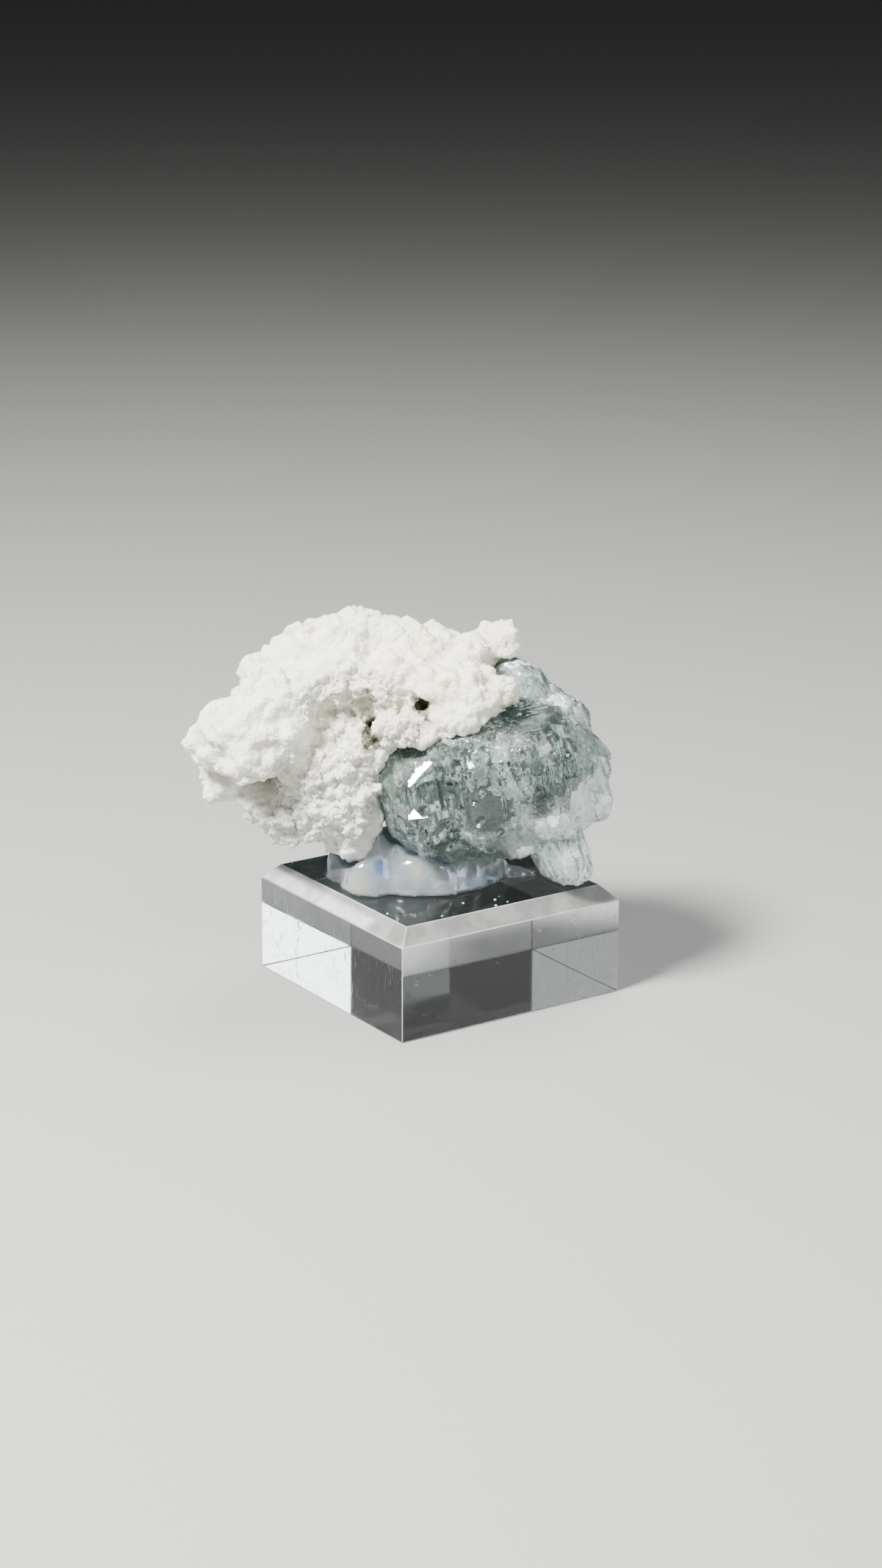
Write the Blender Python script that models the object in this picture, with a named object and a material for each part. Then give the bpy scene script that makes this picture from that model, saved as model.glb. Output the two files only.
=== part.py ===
"""Aquamarine on white albite matrix, set with clear mineral glue on a bevelled acrylic block.

Units in the constants are millimetres and degrees; the scene is in metres, +Z up. The origin is the
centre of the block's underside, and the block's sides lie along X and Y. The stones and the glue are
laid out in the display frame: an empty on the same origin, turned about Z so that its X runs to the
right of the specimen's good side, its Y runs to the back and its -Y is the side that faces a viewer.
"""

import math
import random

import bmesh
import bpy
from mathutils import Matrix, Vector

MM = 0.001

# Driving dimensions
BLOCK_SIDE = 35.0
BLOCK_HEIGHT = 15.0
BLOCK_CHAMFER = 2.0
BLOCK_EDGE_BREAK = 0.25
DISPLAY_TURN = -34.3
CONTACT_GAP = 0.3

# Aquamarine: every growth block shares one c axis, which leans to the left, and one hexagon.
CRYSTAL_FOOT = (8.0, -1.5, 19.0)
CRYSTAL_LEAN = -10.0
CRYSTAL_PITCH = 4.0
HEXAGON_TURN = 12.0
# A block's pyramid caps: height over radius, share of the radius taken off, most of its length they may take.
CAP_SLOPE = 0.42
CAP_NARROWING = 0.336
CAP_SHARE = 0.4

# Growth blocks in the crystal's frame: centre x and y, hexagon radius, low and high ends on the c axis.
GROWTH_BLOCKS = {
    "heart": (1.5, 0.5, 9.5, 2.0, 19.0),
    "left_wall": (-6.8, -4.0, 7.0, 3.6, 17.6),
    "left_foot": (-4.6, -3.6, 6.2, 2.0, 10.0),
    "front_wall": (0.6, -5.4, 7.4, 3.4, 19.6),
    "front_foot": (2.2, -4.2, 6.8, 1.6, 9.0),
    "middle_wall": (5.6, -4.2, 7.2, 3.0, 19.0),
    "right_wall": (7.8, -1.8, 7.4, 3.4, 17.6),
    "upper_step": (7.6, 1.6, 5.4, 10.0, 19.4),
    "back_wall": (2.0, 6.0, 7.4, 3.5, 18.0),
    "back_flank": (9.0, 5.0, 5.6, 5.0, 14.5),
}

# Rounded, frosted lumps down the crystal's right side, in the display frame: centre x, y, z, radii x, y, z.
FROSTED_LUMPS = {
    "crown": (10.6, 2.0, 39.6, 4.8, 5.2, 4.5),
    "crown_back": (8.0, 5.0, 36.5, 5.5, 5.0, 5.0),
    "brow": (13.6, 1.6, 38.0, 3.8, 4.8, 3.6),
    "shoulder": (16.1, 1.0, 35.6, 4.6, 5.4, 4.5),
    "flank": (18.4, -0.5, 30.2, 4.9, 6.4, 5.4),
    "tip": (20.4, -3.6, 26.6, 3.1, 3.8, 3.0),
    "skirt": (16.0, -4.5, 25.2, 4.6, 4.6, 3.6),
}
FROSTED_DETAIL = 2

# The small crystal that hangs from the right of the main one, leaning the other way.
TOOTH_ROOT = (15.2, -7.4, 24.0)
TOOTH_LEAN = 24.0
# Rings from the root down: drop along the axis, radius and shift to the right.
TOOTH_RINGS = ((0.0, 3.4, -0.4), (2.4, 4.0, -0.5), (5.2, 3.8, -0.5), (7.5, 2.6, 0.1), (8.7, 1.2, 0.7))
TOOTH_DEPTH = 0.62
TOOTH_SIDES = 12

# Etch steps: small blocks standing proud of the walls, two in three of them on the good side.
ETCH_SEED = 7
ETCH_STEPS = 72
ETCH_RADIUS = (1.6, 3.4)
ETCH_HEIGHT = (2.5, 8.0)
ETCH_STAND = (0.3, 0.9)
ETCH_FRONT_TURN = (-165, -15)
ETCH_BACK_TURN = (30, 150)
ETCH_MARGIN = 2.5

# Matrix lumps in the display frame: centre x, y, z and radii x, y, z.
MATRIX_LUMPS = {
    "core": (-11.5, 3.0, 34.5, 13.0, 10.5, 12.0),
    "left_knob": (-24.2, -7.0, 36.8, 7.4, 7.3, 5.6),
    "left_knob_end": (-30.0, -6.0, 35.6, 3.6, 4.0, 3.8),
    "left_knob_top": (-21.3, -5.5, 40.0, 5.6, 6.0, 4.8),
    "chin": (-24.2, -11.3, 34.0, 3.4, 3.2, 3.2),
    "chin_right": (-19.6, -10.0, 36.0, 2.6, 2.6, 3.2),
    "flap": (-28.6, -2.8, 29.7, 3.8, 3.8, 3.4),
    "shoulder_low": (-23.5, 2.5, 42.4, 3.2, 4.5, 3.2),
    "shoulder": (-20.3, 4.0, 43.7, 4.0, 5.0, 3.6),
    "brow": (-15.7, 3.5, 45.8, 4.8, 5.5, 3.4),
    "crown": (-11.2, 2.5, 48.2, 4.2, 5.0, 3.4),
    "crown_right": (-5.6, 2.5, 46.8, 4.4, 5.0, 3.4),
    "ridge_right": (-1.0, 2.0, 45.8, 4.5, 5.0, 3.2),
    "ridge_far": (3.4, 1.0, 45.6, 3.8, 4.0, 2.7),
    "front_brow": (-12.5, -4.0, 43.4, 5.5, 4.0, 3.6),
    "front_mid": (-6.5, -6.0, 43.4, 4.6, 4.0, 3.6),
    "front_right": (-0.7, -7.5, 42.4, 4.4, 4.0, 3.6),
    "saddle": (-5.0, -2.5, 43.6, 5.0, 4.6, 3.4),
    "saddle_right": (1.5, -3.2, 43.2, 5.4, 4.8, 3.0),
    "lip": (4.0, -7.8, 41.6, 4.4, 4.4, 3.6),
    "lip_tip": (8.0, -6.0, 42.6, 2.4, 3.0, 2.4),
    "lip_low": (1.6, -9.4, 39.4, 4.6, 3.6, 2.5),
    "lip_left": (-4.2, -9.2, 37.8, 4.8, 3.4, 2.5),
    "rear_knob": (7.7, 6.0, 45.2, 3.4, 3.6, 3.6),
    "rear_knob_tip": (9.0, 6.0, 48.0, 1.3, 1.6, 1.4),
    "rear_foot": (9.3, 5.0, 43.4, 2.0, 2.6, 2.4),
    "rear_neck": (4.0, 6.0, 41.5, 5.5, 5.0, 4.5),
    "column": (-11.8, -6.2, 28.6, 5.2, 5.0, 7.8),
    "belly": (-16.2, -5.2, 30.6, 4.8, 5.6, 6.6),
    "belly_low": (-16.0, -5.4, 26.0, 4.6, 5.0, 3.8),
    "lip_root": (-8.8, -8.4, 35.2, 3.2, 3.0, 2.5),
    "column_foot": (-11.4, -4.6, 21.4, 3.7, 4.4, 3.4),
    "ledge": (-19.2, -5.0, 25.3, 6.0, 5.2, 2.9),
    "ledge_left": (-24.0, -4.2, 27.2, 3.6, 4.2, 2.4),
    "ledge_low": (-19.2, -4.6, 22.7, 3.8, 3.6, 1.9),
    "under": (-12.6, 3.0, 25.8, 6.8, 7.0, 4.4),
    "back_high": (-15.6, 9.5, 39.6, 7.5, 5.5, 6.0),
    "back_mid": (-6.0, 11.0, 33.0, 9.0, 5.5, 7.0),
    "back_left": (-20.6, 7.0, 33.0, 6.3, 6.5, 6.6),
    "back_right": (4.0, 10.5, 36.5, 5.0, 4.5, 5.0),
}
LUMP_DETAIL = 3
MATRIX_VOXEL = 0.8
MATRIX_FACES = 5200
# Relief of the crust: texture size and height, coarse to fine.
MATRIX_RELIEF = ((6.5, 1.9), (2.6, 1.1))
# Vugs that run into the crust: mouth x, y, z in the display frame, radius, and depth towards the back.
MATRIX_VUGS = {
    "low_vug": (-8.5, -9.5, 37.6, 1.5, 7.0),
    "middle_vug": (-9.0, -9.5, 42.3, 0.8, 7.0),
    "right_vug": (-2.2, -12.5, 42.0, 1.2, 7.0),
}
VUG_SIDES = 7
VUG_TAPER = 0.35
VUG_TILT = -78.0

# Glue lumps in the display frame, as for the matrix; the foot is cut flat on the block.
GLUE_LUMPS = {
    "front_left": (-9.3, -5.0, 15.3, 3.9, 5.0, 5.8),
    "far_left": (-12.2, -0.8, 15.3, 3.4, 3.8, 5.6),
    "front_middle": (-3.6, -4.8, 15.3, 4.0, 4.9, 6.2),
    "front_right": (0.2, -4.4, 15.3, 4.2, 5.0, 6.2),
    "right_middle": (3.2, -3.0, 15.6, 3.8, 4.4, 6.2),
    "right_arm": (5.4, -1.6, 16.0, 3.2, 3.4, 6.0),
    "right_end": (7.0, -0.9, 17.0, 1.8, 2.4, 4.6),
    "back": (-4.0, 2.6, 15.4, 8.4, 5.0, 5.8),
    "bead": (9.9, -0.4, 15.2, 1.8, 1.3, 1.6),
    "thread": (11.6, 0.0, 15.0, 2.2, 1.0, 1.2),
}
GLUE_VOXEL = 0.6
GLUE_SMOOTHING = 6
GLUE_FACES = 1100
# The glue stops this many contact gaps short of the crust, to allow for the crust's coarser faces.
GLUE_CLEARANCE = 1.4
GLUE_CUTTER = 60.0


def clear_scene():
    for thing in list(bpy.data.objects):
        bpy.data.objects.remove(thing)


def make_material(name, colour, roughness, transmission=0.0, ior=1.5):
    material = bpy.data.materials.new(name)
    material.use_nodes = True
    shader = material.node_tree.nodes["Principled BSDF"]
    shader.inputs["Base Color"].default_value = (*colour, 1.0)
    shader.inputs["Roughness"].default_value = roughness
    shader.inputs["Metallic"].default_value = 0.0
    shader.inputs["Transmission Weight"].default_value = transmission
    shader.inputs["IOR"].default_value = ior
    return material


def add_object(name, mesh, parent=None, helper=False):
    thing = bpy.data.objects.new(name, mesh)
    bpy.context.scene.collection.objects.link(thing)
    thing.parent = parent
    if helper:
        thing.hide_render = True
        thing.display_type = "WIRE"
    return thing


def mesh_from(name, body):
    mesh = bpy.data.meshes.new(name)
    body.normal_update()
    body.to_mesh(mesh)
    body.free()
    return mesh


def to_metres(*values):
    return Vector(values) * MM


# --- acrylic block -----------------------------------------------------------------------------


def build_block():
    """A square block with a wide chamfer round its top and a small edge break everywhere else."""
    body = bmesh.new()
    bmesh.ops.create_cube(body, size=1.0)
    size = Matrix.Diagonal(to_metres(BLOCK_SIDE, BLOCK_SIDE, BLOCK_HEIGHT)).to_4x4()
    lift = Matrix.Translation(to_metres(0, 0, BLOCK_HEIGHT / 2))
    bmesh.ops.transform(body, matrix=lift @ size, verts=body.verts)
    top = BLOCK_HEIGHT * MM
    rim = [e for e in body.edges if all(abs(v.co.z - top) < 1e-6 for v in e.verts)]
    bmesh.ops.bevel(body, geom=rim, offset=BLOCK_CHAMFER * MM, segments=1, affect="EDGES")
    low = (BLOCK_HEIGHT - BLOCK_CHAMFER) * MM - 1e-6
    sides = [e for e in body.edges if min(v.co.z for v in e.verts) < low]
    bmesh.ops.bevel(body, geom=sides, offset=BLOCK_EDGE_BREAK * MM, segments=1, affect="EDGES")
    return add_object("acrylic_block", mesh_from("acrylic_block", body))


# --- aquamarine --------------------------------------------------------------------------------


def hexagon_ring(body, radius, height, centre):
    corners = [math.radians(HEXAGON_TURN + 60 * k) for k in range(6)]
    return [
        body.verts.new(to_metres(centre[0] + radius * math.cos(a), centre[1] + radius * math.sin(a), height))
        for a in corners
    ]


def growth_block(name, block, grow, parent):
    """A hexagonal prism along the c axis, its ends narrowed by pyramid faces. grow is added all round."""
    x, y, radius, low, high = block
    radius, low, high = radius + grow, low - grow, high + grow
    cap = min(radius * CAP_SLOPE, (high - low) * CAP_SHARE)
    body = bmesh.new()
    narrow = radius * (1 - CAP_NARROWING)
    levels = ((narrow, low), (radius, low + cap), (radius, high - cap), (narrow, high))
    rings = [hexagon_ring(body, r, z, (x, y)) for r, z in levels]
    for below, above in zip(rings, rings[1:]):
        for k in range(6):
            body.faces.new((below[k], below[(k + 1) % 6], above[(k + 1) % 6], above[k]))
    body.faces.new(list(reversed(rings[0])))
    body.faces.new(rings[-1])
    return add_object(name, mesh_from(name, body), parent, helper=True)


def etch_blocks():
    """Small blocks set round the walls of the hand-placed ones, from a fixed seed."""
    pick = random.Random(ETCH_SEED)
    hosts = list(GROWTH_BLOCKS.values())
    blocks = {}
    for number in range(ETCH_STEPS):
        x, y, radius, low, high = hosts[number % len(hosts)]
        turn = math.radians(pick.uniform(*(ETCH_FRONT_TURN if number % 3 else ETCH_BACK_TURN)))
        small = pick.uniform(*ETCH_RADIUS)
        reach = (radius - small) * math.cos(math.radians(30)) + pick.uniform(*ETCH_STAND)
        middle = pick.uniform(low + ETCH_MARGIN, high - ETCH_MARGIN)
        half = pick.uniform(*ETCH_HEIGHT) / 2
        centre = (x + reach * math.cos(turn), y + reach * math.sin(turn))
        blocks[f"etch_{number:02d}"] = (*centre, small, middle - half, middle + half)
    return blocks


def build_tooth(name, grow, display, helper=True):
    """The hanging crystal: an oval, many-sided spindle with a blunt lower end."""
    body = bmesh.new()
    rings = []
    turns = [2 * math.pi * k / TOOTH_SIDES for k in range(TOOTH_SIDES)]
    for drop, radius, shift in TOOTH_RINGS:
        wide = radius + grow
        deep = radius * TOOTH_DEPTH + grow
        spots = [to_metres(shift + wide * math.cos(a), deep * math.sin(a), -drop) for a in turns]
        rings.append([body.verts.new(spot) for spot in spots])
    for above, below in zip(rings, rings[1:]):
        for k in range(TOOTH_SIDES):
            body.faces.new((below[k], below[(k + 1) % TOOTH_SIDES], above[(k + 1) % TOOTH_SIDES], above[k]))
    body.faces.new(rings[0])
    body.faces.new(list(reversed(rings[-1])))
    tooth = add_object(name, mesh_from(name, body), display, helper=helper)
    tooth.location = to_metres(*TOOTH_ROOT)
    tooth.rotation_euler = (0, math.radians(-TOOTH_LEAN), 0)
    return tooth


def frosted_lump(name, lump, grow, display):
    """A coarse ellipsoid, so that its faces read as small rounded facets."""
    x, y, z, rx, ry, rz = lump
    sizes = to_metres(rx + grow, ry + grow, rz + grow)
    body = bmesh.new()
    place = Matrix.Translation(to_metres(x, y, z)) @ Matrix.Diagonal(sizes).to_4x4()
    bmesh.ops.create_icosphere(body, subdivisions=FROSTED_DETAIL, radius=1.0, matrix=place)
    return add_object(name, mesh_from(name, body), display, helper=True)


def crystal_collection(name, grow, axis, display):
    """Every block of the crystal, each grown by the same amount, in a collection for Booleans."""
    group = bpy.data.collections.new(name)
    blocks = {**GROWTH_BLOCKS, **etch_blocks()}
    parts = [growth_block(f"{name}_{key}", block, grow, axis) for key, block in blocks.items()]
    parts += [frosted_lump(f"{name}_{key}", lump, grow, display) for key, lump in FROSTED_LUMPS.items()]
    parts.append(build_tooth(f"{name}_tooth", grow, display))
    for part in parts:
        group.objects.link(part)
    return group


def add_boolean(thing, operation, collection=None, other=None):
    cut = thing.modifiers.new(operation.title(), "BOOLEAN")
    cut.operation = operation
    cut.solver = "EXACT"
    if collection:
        cut.operand_type = "COLLECTION"
        cut.collection = collection
    else:
        cut.object = other


def build_crystal(axis, display):
    group = crystal_collection("growth", 0.0, axis, display)
    heart = growth_block("aquamarine_crystal", GROWTH_BLOCKS["heart"], 0.0, axis)
    heart.hide_render = False
    heart.display_type = "TEXTURED"
    group.objects.unlink(bpy.data.objects["growth_heart"])
    add_boolean(heart, "UNION", collection=group)
    return heart


# --- matrix and glue ---------------------------------------------------------------------------


def lump_mesh(name, lumps):
    """Overlapping ellipsoids in one mesh, for a voxel Remesh to fuse."""
    body = bmesh.new()
    for x, y, z, rx, ry, rz in lumps.values():
        place = Matrix.Translation(to_metres(x, y, z)) @ Matrix.Diagonal(to_metres(rx, ry, rz)).to_4x4()
        bmesh.ops.create_icosphere(body, subdivisions=LUMP_DETAIL, radius=1.0, matrix=place)
    return mesh_from(name, body)


def add_remesh(thing, voxel):
    remesh = thing.modifiers.new("Fuse", "REMESH")
    remesh.mode = "VOXEL"
    remesh.voxel_size = voxel * MM


def add_relief(thing, name, size, height):
    texture = bpy.data.textures.new(name, "CLOUDS")
    texture.noise_scale = size * MM
    texture.noise_depth = 1
    relief = thing.modifiers.new(name, "DISPLACE")
    relief.texture = texture
    relief.strength = height * MM
    relief.mid_level = 0.5


def add_decimate(thing, ratio):
    fewer = thing.modifiers.new("Fewer faces", "DECIMATE")
    fewer.ratio = ratio


def face_count(thing):
    graph = bpy.context.evaluated_depsgraph_get()
    mesh = thing.evaluated_get(graph).to_mesh()
    mesh.calc_loop_triangles()
    count = len(mesh.loop_triangles)
    thing.evaluated_get(graph).to_mesh_clear()
    return count


def build_vug(name, vug, display):
    """A tapering pit with flat sides that runs from the crust towards the back."""
    x, y, z, radius, depth = vug
    wide, narrow = radius * MM, radius * VUG_TAPER * MM
    body = bmesh.new()
    bmesh.ops.create_cone(
        body, cap_ends=True, segments=VUG_SIDES, radius1=wide, radius2=narrow, depth=depth * MM
    )
    pit = add_object(name, mesh_from(name, body), display, helper=True)
    pit.location = to_metres(x, y + depth / 2, z)
    pit.rotation_euler = (math.radians(VUG_TILT), 0, 0)
    return pit


def matrix_body(name, display, helper):
    crust = add_object(name, lump_mesh(name, MATRIX_LUMPS), display, helper)
    add_remesh(crust, MATRIX_VOXEL)
    for size, height in MATRIX_RELIEF:
        add_relief(crust, f"{name} relief {size}", size, height)
    add_decimate(crust, MATRIX_FACES / face_count(crust))
    return crust


def build_matrix(seat, display):
    crust = matrix_body("albite_matrix", display, helper=False)
    add_boolean(crust, "DIFFERENCE", collection=seat)
    pits = bpy.data.collections.new("vugs")
    for name, vug in MATRIX_VUGS.items():
        pits.objects.link(build_vug(name, vug, display))
    add_boolean(crust, "DIFFERENCE", collection=pits)
    return crust


def build_glue(seat, display):
    glue = add_object("mineral_glue", lump_mesh("mineral_glue", GLUE_LUMPS), display)
    add_remesh(glue, GLUE_VOXEL)
    soften = glue.modifiers.new("Soften", "SMOOTH")
    soften.factor = 0.5
    soften.iterations = GLUE_SMOOTHING
    add_decimate(glue, GLUE_FACES / face_count(glue))
    body = bmesh.new()
    bmesh.ops.create_cube(body, size=GLUE_CUTTER * MM)
    under = add_object("under_block_top", mesh_from("under_block_top", body), helper=True)
    under.location = to_metres(0, 0, BLOCK_HEIGHT + CONTACT_GAP - GLUE_CUTTER / 2)
    add_boolean(glue, "DIFFERENCE", other=under)
    add_boolean(glue, "DIFFERENCE", collection=seat)
    stone = matrix_body("matrix_for_glue", display, helper=True)
    swell = stone.modifiers.new("Gap", "DISPLACE")
    swell.strength = CONTACT_GAP * GLUE_CLEARANCE * MM
    swell.mid_level = 0.0
    add_boolean(glue, "DIFFERENCE", other=stone)
    return glue


def main():
    clear_scene()
    display = add_object("display_frame", None)
    display.rotation_euler = (0, 0, math.radians(DISPLAY_TURN))
    axis = add_object("c_axis", None, display)
    axis.location = to_metres(*CRYSTAL_FOOT)
    axis.rotation_euler = (math.radians(CRYSTAL_PITCH), math.radians(CRYSTAL_LEAN), 0)

    block = build_block()
    crystal = build_crystal(axis, display)
    seat = crystal_collection("seat", CONTACT_GAP, axis, display)
    matrix = build_matrix(seat, display)
    glue = build_glue(seat, display)

    finishes = {
        block: make_material("clear acrylic", (0.93, 0.95, 0.96), 0.03, transmission=1.0, ior=1.49),
        crystal: make_material("aquamarine", (0.72, 0.86, 0.86), 0.12, transmission=0.9, ior=1.58),
        matrix: make_material("albite", (0.86, 0.85, 0.81), 0.75),
        glue: make_material("clear glue", (0.80, 0.85, 0.93), 0.15, transmission=0.6, ior=1.48),
    }
    for thing, finish in finishes.items():
        thing.data.materials.append(finish)


main()
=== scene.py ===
import math

import bmesh
import bpy
from mathutils import Euler, Matrix, Vector


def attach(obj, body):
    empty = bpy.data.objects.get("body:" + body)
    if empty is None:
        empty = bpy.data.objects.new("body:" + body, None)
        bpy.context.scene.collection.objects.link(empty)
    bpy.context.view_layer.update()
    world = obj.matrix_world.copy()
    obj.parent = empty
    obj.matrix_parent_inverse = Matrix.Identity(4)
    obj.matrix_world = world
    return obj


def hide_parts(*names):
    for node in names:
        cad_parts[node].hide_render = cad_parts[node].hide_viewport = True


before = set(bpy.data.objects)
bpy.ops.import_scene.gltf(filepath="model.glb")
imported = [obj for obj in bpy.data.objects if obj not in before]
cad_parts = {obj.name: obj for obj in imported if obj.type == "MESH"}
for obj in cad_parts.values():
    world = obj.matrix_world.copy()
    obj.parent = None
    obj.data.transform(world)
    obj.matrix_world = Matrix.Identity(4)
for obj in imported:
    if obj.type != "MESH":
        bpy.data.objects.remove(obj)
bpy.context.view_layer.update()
print("frame loaded")

mm = 0.001
origin = (0.0, 0.0, 0.0)
middleGrey = (0.5, 0.5, 0.5)

# the display frame turns the specimen's good side towards the camera; the c axis leans inside it
layout = {
    "displayTurn": -34.3,
    "crystalFoot": (8.0, -1.5, 19.0),
    "axisLean": -10.0,
    "axisPitch": 4.0,
    "toothLean": -24.0,
    "hexagonTurn": 12.0,
    "depthRise": 0.292,  # how far depth raises a point as the camera sees it
    "heightRise": 0.956,
}
displayFrame = Matrix.Rotation(math.radians(layout["displayTurn"]), 4, "Z")
axisTilt = [math.radians(layout[key]) for key in ("axisPitch", "axisLean")]
axisTurn = Euler((*axisTilt, 0)).to_matrix().to_4x4()
crystalFrame = displayFrame @ Matrix.Translation(Vector(layout["crystalFoot"]) * mm) @ axisTurn
crystalEuler = crystalFrame.to_euler()
toothEuler = (displayFrame @ Matrix.Rotation(math.radians(layout["toothLean"]), 4, "Y")).to_euler()
prismEuler = (crystalFrame @ Matrix.Rotation(math.radians(layout["hexagonTurn"]), 4, "Z")).to_euler()

lights = {
    # place in the display frame in metres, size in metres, watts, colour
    "key": ((-0.26, -0.24, 0.44), 0.13, 7.2, (1.0, 0.992, 0.955)),
    "front": ((0.14, -0.34, 0.42), 0.20, 0.6, (1.0, 1.0, 0.985)),
    "top": ((0.04, 0.16, 0.48), 0.22, 1.0, (1.0, 1.0, 1.0)),
    "right panel": ((0.38, -0.15, 0.10), 0.26, 0.82, (0.97, 0.99, 1.0)),
    "left panel": ((-0.38, 0.15, 0.10), 0.24, 0.07, (0.97, 0.98, 1.0)),
}
lightAim = (0.0, 0.0, 0.028)

cameraSetup = {
    "place": (-0.231654, -0.340211, 0.152766),
    "right": (0.82684364, -0.562418, 0.00394735),
    "up": (0.16032329, 0.24241623, 0.95683374),
    "forward": (0.53909742, 0.79051905, -0.29060902),
    "lens": 73.5,
    "sensor": 36.0,
    "nearest": 0.01,
}


class Wire:
    # one output of a node; arithmetic on wires adds Math nodes, so a node sum reads as a formula
    def __init__(self, tree, socket):
        self.tree = tree
        self.socket = socket

    def output(self, key):
        return Wire(self.tree, self.socket.node.outputs[key])

    __add__ = lambda self, other: calc("ADD", self, other)
    __sub__ = lambda self, other: calc("SUBTRACT", self, other)
    __rsub__ = lambda self, other: calc("SUBTRACT", other, self)
    __mul__ = lambda self, other: calc("MULTIPLY", self, other)
    __rtruediv__ = lambda self, other: calc("DIVIDE", other, self)
    __pow__ = lambda self, other: calc("POWER", self, other)
    __gt__ = lambda self, other: calc("GREATER_THAN", self, other)
    __lt__ = lambda self, other: calc("LESS_THAN", self, other)
    __abs__ = lambda self: calc("ABSOLUTE", self)


def plug(value, node, key):
    # a wire is linked, a list of wires fills a socket that takes many, anything else is a plain value
    socket = node.inputs[key]
    if isinstance(value, Wire):
        value.tree.links.new(value.socket, socket)
    elif isinstance(value, list):
        for wire in value:
            plug(wire, node, key)
    elif socket.type == "RGBA":
        socket.default_value = (*value, 1.0)
    else:
        socket.default_value = value


def addNode(kind, inputs, output=0, tree=None, **settings):
    # a new node, in the tree of its first wire where none is given
    tree = tree or [value for value in inputs.values() if isinstance(value, Wire)][0].tree
    made = tree.nodes.new(kind)
    for key, value in settings.items():
        setattr(made, key, value)
    for key, value in inputs.items():
        plug(value, made, key)
    return Wire(tree, made.outputs[output])


def calc(operation, *values, clamp=False):
    return addNode("ShaderNodeMath", dict(enumerate(values)), operation=operation, use_clamp=clamp)


def vectorCalc(operation, first, second=origin, scale=1.0):
    output = "Value" if operation in ("DISTANCE", "DOT_PRODUCT") else "Vector"
    inputs = {0: first, 1: second, 3: scale}
    return addNode("ShaderNodeVectorMath", inputs, output, operation=operation)


def drawnOut(place, squeeze):
    # a pattern at the squeezed place is drawn out along z
    return vectorCalc("MULTIPLY", place, (1.0, 1.0, squeeze))


def partsOf(vector):
    first = addNode("ShaderNodeSeparateXYZ", {0: vector})
    return first, first.output(1), first.output(2)


def joined(x, y, z):
    return addNode("ShaderNodeCombineXYZ", {0: x, 1: y, 2: z})


def blend(factor, first, second):
    return factor * (second - first) + first


def mixed(factor, first, second):  # colours
    return addNode("ShaderNodeMix", {0: factor, 6: first, 7: second}, 2, data_type="RGBA")


def ramp(value, low, high, outLow=0.0, outHigh=1.0, curve="SMOOTHSTEP"):
    inputs = {"Value": value, "From Min": low, "From Max": high, "To Min": outLow, "To Max": outHigh}
    return addNode("ShaderNodeMapRange", inputs, interpolation_type=curve)


def stepAt(value, low, high, *reach):  # low and high in mm
    return ramp(value, low * mm, high * mm, *reach)


def noiseAt(place, size, detail=3.0, rough=0.5, distortion=0.0, output=0):  # size in mm
    inputs = {"Vector": place, "Scale": 1 / (size * mm), "Detail": detail, "Roughness": rough}
    inputs["Distortion"] = distortion
    return addNode("ShaderNodeTexNoise", inputs, output)


def cellsAt(place, size, output="Distance"):  # size in mm
    return addNode("ShaderNodeTexVoronoi", {"Vector": place, "Scale": 1 / (size * mm)}, output)


def tiltedAt(place, size):
    # a height made of flat cells, each tilted its own way
    middle = cellsAt(place, size, "Position")
    tilt = vectorCalc("SUBTRACT", middle.output("Color"), middleGrey)
    return vectorCalc("DOT_PRODUCT", vectorCalc("SUBTRACT", place, middle), tilt)


def turnedAt(place, euler, back=True):
    inputs = {"Vector": place, "Rotation": euler}
    return addNode("ShaderNodeVectorRotate", inputs, rotation_type="EULER_XYZ", invert=back)


def displayAt(place):
    # the place in the display frame: x to the right of the good side, y to its back
    inputs = {"Vector": place, "Angle": -math.radians(layout["displayTurn"])}
    return addNode("ShaderNodeVectorRotate", inputs, rotation_type="Z_AXIS")


def faceOn(place):
    # across and up as the good side shows them
    across, depth, height = partsOf(displayAt(place))
    return across, depth * layout["depthRise"] + height * layout["heightRise"]


def spotsAt(place, spots):
    # the strength of the oval place on the good side that holds the point, or 0 outside them all
    across, up = faceOn(place)
    found = 0.0
    for x, y, wide, tall, *strength in spots:
        dx = across * (1 / (wide * mm)) - x / wide
        dy = up * (1 / (tall * mm)) - y / tall
        found = calc("MAXIMUM", ramp(dx * dx + dy * dy, 1.35, 0.75, 0.0, *strength), found)
    return found


def inMetres(lengths):
    # lengths in mm by name, where a pair fills the Low and the High input of its name
    values = {}
    for label, value in lengths.items():
        if isinstance(value, tuple):
            values[f"Low {label}"], values[f"High {label}"] = value[0] * mm, value[1] * mm
        else:
            values[label] = value * mm
    return values


# node trees: openTree gives the inputs as wires by name, closeTree links the outputs;
# openShader gives the place as well, and openGeometry the tree and the place
socketKinds = {"Geometry": "NodeSocketGeometry", "Colour": "NodeSocketColor"}
valueKinds = {int: "NodeSocketInt", float: "NodeSocketFloat", tuple: "NodeSocketVector"}


def openTree(name, kind, inputs, outputs):
    tree = bpy.data.node_groups.new(name, kind)
    for label, value in inputs.items():
        wanted = socketKinds.get(label) or valueKinds[type(value)]
        socket = tree.interface.new_socket(label, in_out="INPUT", socket_type=wanted)
        if value is not None:
            socket.default_value = value
    for label in outputs:
        wanted = socketKinds.get(label, "NodeSocketFloat")
        tree.interface.new_socket(label, in_out="OUTPUT", socket_type=wanted)
    entry = tree.nodes.new("NodeGroupInput")
    return {socket.name: Wire(tree, socket) for socket in entry.outputs if socket.name}


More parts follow.
